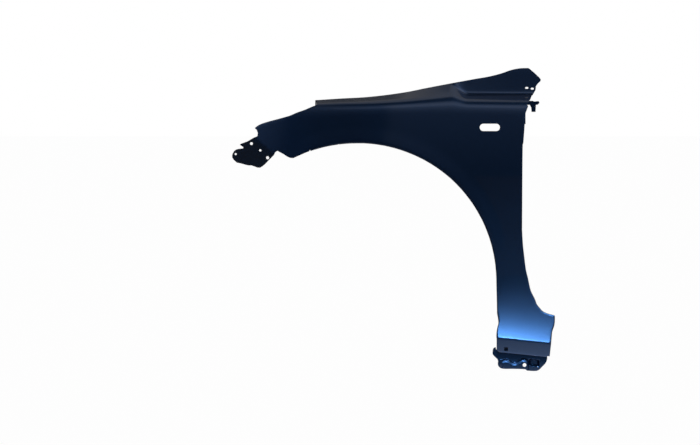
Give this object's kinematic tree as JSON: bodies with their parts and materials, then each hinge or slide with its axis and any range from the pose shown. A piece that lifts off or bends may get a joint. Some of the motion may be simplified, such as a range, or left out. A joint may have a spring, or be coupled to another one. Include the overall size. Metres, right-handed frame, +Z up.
{
  "type": "car front fender",
  "caption": "Pressed steel front fender with a wheel arch, bumper tab, hood ledge, lamp hole, mirror sail and welded sill and door-edge brackets.",
  "frame": {"origin": "underside of the hood ledge's second bolt pad, 9 mm behind its hole's centre", "axes": "+X rearward along the car, +Y inboard, +Z up, as the panel sits on the car"},
  "size_m": [0.7761, 0.1874, 0.7253],
  "materials": {
    "body_paint": "dark blue metallic paint under gloss clear coat"
  },
  "bodies": {
    "root": {"fender_panel": "body_paint", "sill_bracket": "body_paint", "rear_upper_bracket": "body_paint"}
  },
  "joints": []
}
